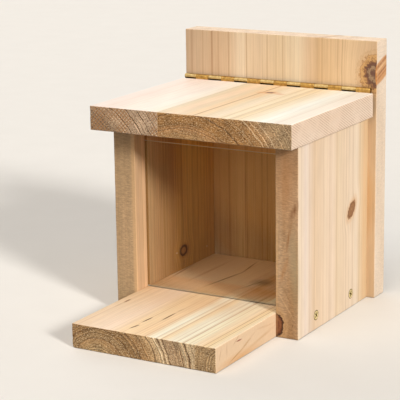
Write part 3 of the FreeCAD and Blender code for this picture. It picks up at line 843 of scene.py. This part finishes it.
points, faces = grid_box([[low, low + EASE, high - EASE, high] for low, high in zip(pane_low, pane_high)])
points = rounded(points, np.array(pane_low), np.array(pane_high), EASE, EASE)
sheet = mesh_piece("window_pane_sheet", points * MM, faces, acrylic, "pane", "window_pane")
sheet.data.polygons.foreach_set("use_smooth", [False] * len(faces))


# Continuous hinge
# Two strips of brass, 1 mm thick, whose edges are notched and curled in turn round one long pin.
# Each leaf is screwed down behind the roof: one to the back panel, one to the roof's rear edge.
PIN_Y = back_front_y - KNUCKLE
PIN_Z = leaf_high.z - KNUCKLE
NOTCH_Z = PIN_Z - KNUCKLE - 0.3
KNUCKLES = 14
KNUCKLE_PITCH = 12.6
KNUCKLE_GAP = 0.25
CURL_STEPS = 26
CURL_END = math.tau - math.acos((BORE - 0.25) / KNUCKLE)
# how a knuckle's cut end is rounded: its distance from the end, and how far its wall draws in
CUT_END = ((0, 0.14), (0.048, 0.04), (0.12, 0), (0.36, 0))
hinge_left, hinge_right = min(leaf_low.x, roof_leaf_low.x), max(leaf_high.x, roof_leaf_high.x)
# the strip's length is no whole number of knuckles, so the first one is cut short
first_length = hinge_right - hinge_left - (KNUCKLES - 1) * KNUCKLE_PITCH
# painted shade: dark along the panel, where the barrel meets it, and below the pin on the back leaf, in the
# slots under its knuckles
shade_by_panel = (1, PIN_Y - 0.9, PIN_Y + 0.4, 0.85)
shade_in_slots = (2, PIN_Z - 0.3, PIN_Z - 0.8, 1.0)
back_metal = plated("brass_rolled_back_leaf", "d8bd84", "b4955c", 0.4, [shade_by_panel, shade_in_slots])
roof_metal = plated("brass_rolled_roof_leaf", "cba25a", "9a743c", 0.4, [shade_by_panel])


def knuckle(side, left, right):
    """One knuckle of a leaf: the strip's end, curled from its foot round the pin, between two places."""
    angles = [CURL_END * i / CURL_STEPS for i in range(CURL_STEPS + 1)]
    outer, inner = [
        [(PIN_Y + side * r, NOTCH_Z - 0.2)]
        + [(PIN_Y + side * r * math.cos(angle), PIN_Z + r * math.sin(angle)) for angle in angles]
        for r in (KNUCKLE, BORE)]
    section = outer + inner[::-1]
    stations = ([(left + away, pull) for away, pull in CUT_END]
                + [(right - away, pull) for away, pull in CUT_END[::-1]])
    rings = [[Vector((x, y + (other_y - y) * pull, z + (other_z - z) * pull))
              for (y, z), (other_y, other_z) in zip(section, section[::-1])] for x, pull in stations]
    last = len(section) - 1
    return lofted(rings, [(i, i + 1, last - 1 - i, last - i) for i in range(len(outer) - 1)])


def leaf(name, side, first, holes, metal, body):
    """One leaf: the flat strip and every second knuckle, joined into one closed mesh."""
    knuckles = []
    for number in range(first, KNUCKLES, 2):
        left = hinge_left + (first_length + (number - 1) * KNUCKLE_PITCH if number else 0)
        right = hinge_left + first_length + number * KNUCKLE_PITCH
        left += KNUCKLE_GAP / 2 if number else 0
        right -= KNUCKLE_GAP / 2 if number < KNUCKLES - 1 else 0
        knuckles.append(knuckle(side, left, right))
    y0, y1 = sorted((PIN_Y + side * BORE, PIN_Y + side * KNUCKLE))
    points, faces = block((hinge_left, y0, leaf_low.z), (hinge_right, y1, NOTCH_Z))
    piece = mesh_piece(name + "_curled", [Vector(p) * MM for p in points], faces, metal, body, name)
    combine(piece, "UNION", knuckles)
    bore(piece, holes)


roof_leaf_places = [(x, roof_leaf_low.y + LEAF, hinge_screw_z) for x in hinge_screw_x]
roof_leaf_holes = [countersunk_hole(HINGE_SCREW, place, (0, -1, 0)) for place in roof_leaf_places]
leaf("hinge_back_leaf", 1, 0, back_leaf_holes, back_metal, "box")
leaf("hinge_roof_leaf", -1, 1, roof_leaf_holes, roof_metal, "lid")

pin_low, pin_high = corners("hinge_pin")
pin_radius, pin_length = (pin_high.y - pin_low.y) / 2, pin_high.x - pin_low.x
pin_end = [(pin_radius * share, depth) for share, depth in ((0.55, 0), (0.9, 0.08), (1.0, 0.3))]
pin_outline = pin_end + [(r, pin_length - depth) for r, depth in pin_end[::-1]]
points, faces = turned(pin_outline, (pin_low.x, PIN_Y, PIN_Z), (1, 0, 0))
mesh_piece("hinge_pin_rod", [p * MM for p in points], faces, roof_metal, "box", "hinge_pin")
screw_group("hinge_back_screws", "box", HINGE_SCREW, back_leaf_places, (0, 1, 0), 51)
screw_group("hinge_roof_screws", "lid", HINGE_SCREW, roof_leaf_places, (0, -1, 0), 52)


# Roof
# Two cedar boards glued edge to edge, level, planed on top. The left one is pale sapwood and the
# right one is warmer heartwood with a small knot near the hinge.
pale_cedar = cedar(
    "cedar_roof_pale", "Y", pith=(-112, 114), face=(1, 175), seed=12.2, ring=10.0, rings=0.06, wander=0.9,
    late="a87c52", end_late="402812", ends=0.12, speckle=0.65, stripes=0.04, band=1.8, fibre=0.06,
    end_tints=[
        (46, "7a6654"), (58, "7e6a57"), (66, "a89078"), (72, "baa189"), (100, "c4ac95")],
    zones=[
        (-90, "e7dcd5"), (-78, "e7d6cc"), (-68, "ebdad0"), (-60, "ede0d5"), (-45, "efe3d9"), (-36, "f0e8dc"),
        (-29.5, "f0e5d5"), (-27.3, "e9d8c5")],
    lines=[
        (-76, 0.9, 0.07), (-63.2, 0.9, 0.12), (-51, 0.7, 0.05), (-46, 0.7, 0.06), (-33.5, 0.6, 0.08)],
    arcs=[
        (73.5, 0.55, 0.7), (81.5, 0.55, 0.7), (88.8, 0.55, 0.65), (95, 0.45, 0.6), (100.5, 0.45, 0.55),
        (77, 0.4, 0.35), (85, 0.4, 0.35), (66, 0.5, 0.4)],
    sawn=[(1, 45, 2.4, 0.9), (1, -45, 2.4, 0.9)], edges=[(0, "e8cba2", 0.85, 0.08)])
warm_cedar = cedar(
    "cedar_roof_warm", "Y", pith=(-4, 106), face=(1, 175), seed=4.6, ring=8.0, rings=0.10, wander=1.0,
    lean=(0.008, -110), late="96622e", end_late="44260c", ends=0.12, speckle=0.62, stripes=0.07, band=1.6,
    fibre=0.12, edges=[(0, "edd2ba", 0.85, 0.05)],
    end_tints=[
        (50, "ab885c"), (58, "a67d52"), (63, "9b7345"), (70, "a17747"), (80, "a67d4e"), (88, "b08658"),
        (95, "b4936d"), (103, "a68d6b"), (112, "a68d6d")],
    zones=[
        (-27.3, "ded1ba"), (-22, "e2cdad"), (-14, "ecd1b4"), (-5, "e3cdae"), (1, "e8cba5"), (9, "ead0ab"),
        (17, "e7d5b9"), (24, "eddbc2"), (29, "eddab8"), (34, "f0dfc1"), (41, "ead5b0"), (52, "f3e6cf"),
        (64, "f2f2e9"), (76, "eee6d9"), (89.5, "f5ebdf")],
    lines=[
        (-25.6, 0.35, 0.3), (-6.3, 0.3, 0.1), (5.0, 0.8, 0.7), (29.5, 0.6, 0.35), (33.5, 0.5, -0.3),
        (37.3, 0.6, 0.35), (44.5, 0.6, 0.25), (76.5, 0.9, 0.15)],
    arcs=[
        (69.8, 0.5, 0.55), (76.8, 0.45, 0.45), (85.6, 0.45, -0.4), (87.4, 0.6, 0.14), (89.4, 0.4, -0.3),
        (91.6, 0.7, 0.14), (94.2, 0.5, -0.35)],
    sawn=[(0, 62, 1.9, 0.42), (1, 45, 2.4, 0.12)],
    knots=[
        Knot((12, 175, -57), (4.4, 5, 3.4), [
            (0.0, "a48f86", 0.95), (0.35, "755a50", 1.0), (0.62, "8a6450", 0.95), (0.85, "c28f68", 0.8),
            (1.3, "e2b183", 0.5), (2.3, "ecc08f", 0.0)], turn=(0, -0.35, 0), reach=0.9, ragged=0.35)],
    marks=[
        Mark((22.5, 175, -60), (6, 3, 4), "d29766", 0.8, 0.0, 0.8),
        Mark((5, 175, -60), (4.5, 3, 5), "d69a68", 0.75, 0.0, 0.8),
        Mark((11, 175, -75), (5, 3, 20), "e6b684", 0.45, 0.0, 0.6)])
board("roof_left_board", "Y", pale_cedar, "lid", 61, 26, roof_leaf_holes, tight=((0, 1),))
board("roof_right_board", "Y", warm_cedar, "lid", 62, 26, roof_leaf_holes, tight=((0, 0),))


# Studio
# A plain pale floor and soft light: a large key lamp at the right front, a broad one overhead, a warm
# one in front, as a sunlit landing throws back, a low one at the rear left, and an even sky.
FLOOR_REACH = 6.0


def looked_at(add):
    """1 where the camera looks, straight or by way of the hinge or the pane, and 0 for light on the wood."""
    seen = add("LightPath", out=("Is Camera Ray", "Is Glossy Ray", "Is Transmission Ray"))
    return add("Math MAXIMUM", add("Math MAXIMUM", seen[0], seen[1]), seen[2])


# matt paper with flecks 3 mm across, dimmer in what it throws back than in what is seen of it
paper = bpy.data.materials.new("paper_backdrop_matt")
add = node_adder(paper)
tone = add("Mix", add("TexNoise", {"Scale": 0.3 / MM}), linear("e4e3e1"), linear("e8e7e5"))
pale = add("BsdfPrincipled", {"Base Color": tone, "Roughness": 0.9, "Specular IOR Level": 0.1})
dim = add("BsdfDiffuse", linear("7a7876"))
add("OutputMaterial", add("MixShader", looked_at(add), dim, pale))
floor = mesh_object("studio_floor", [(x * FLOOR_REACH, y * FLOOR_REACH, 0) for x, y in (
    (-1, -1), (1, -1), (1, 1), (-1, 1))], [(0, 1, 2, 3)])
floor.location.z = -0.0002
floor.data.materials.append(paper)

world = bpy.data.worlds.new("studio_sky")
bpy.context.scene.world = world
add = node_adder(world)
sky = add("Background", linear("fbfaf8"), 0.20)
backdrop = add("Background", linear("eeedeb"), 0.95)
add("OutputWorld", add("MixShader", looked_at(add), sky, backdrop))


def lamp(name, direction, level, spread, colour):
    """A distant soft lamp; at level 1 a surface that faces it shows its own colour."""
    light = bpy.data.lights.new(name, "SUN")
    light.energy = level * math.pi
    light.angle = math.radians(spread)
    light.color = linear(colour)[:3]
    thing = placed(name, light)
    thing.location = Vector(direction) * 2
    thing.rotation_euler = Vector(direction).to_track_quat("Z", "Y").to_euler()


lamp("key_lamp", (0.84, -0.42, 0.42), 0.92, 11, "fffaf2")
lamp("overhead_lamp", (-0.05, -0.38, 0.92), 0.295, 40, "fffdfa")
lamp("front_lamp", (0.12, -0.82, 0.52), 0.28, 50, "ffe4c0")
lamp("rear_lamp", (-0.80, 0.62, 0.24), 0.50, 60, "fffaf4")


# The photograph's view
# A long lens a little above the roof, from the right of the front.
FOCAL_PIXELS = 1617.18
PHOTO_PIXELS = 400
camera = placed("camera", bpy.data.cameras.new("camera"))
camera.data.sensor_width = 36.0
camera.data.lens = FOCAL_PIXELS * camera.data.sensor_width / PHOTO_PIXELS
camera.data.clip_start = 0.01
spot = Vector((619.26, -1195.34 + back_front_y, 408.32)) * MM
turn, tilt, roll = [Matrix.Rotation(math.radians(angle), 4, axis)
                    for angle, axis in ((30.254, "Z"), (76.11, "X"), (-0.823, "Z"))]
camera.matrix_world = Matrix.Translation(spot) @ turn @ tilt @ roll
bpy.context.scene.camera = camera
bpy.context.scene.view_settings.view_transform = "Standard"

bpy.context.view_layer.update()
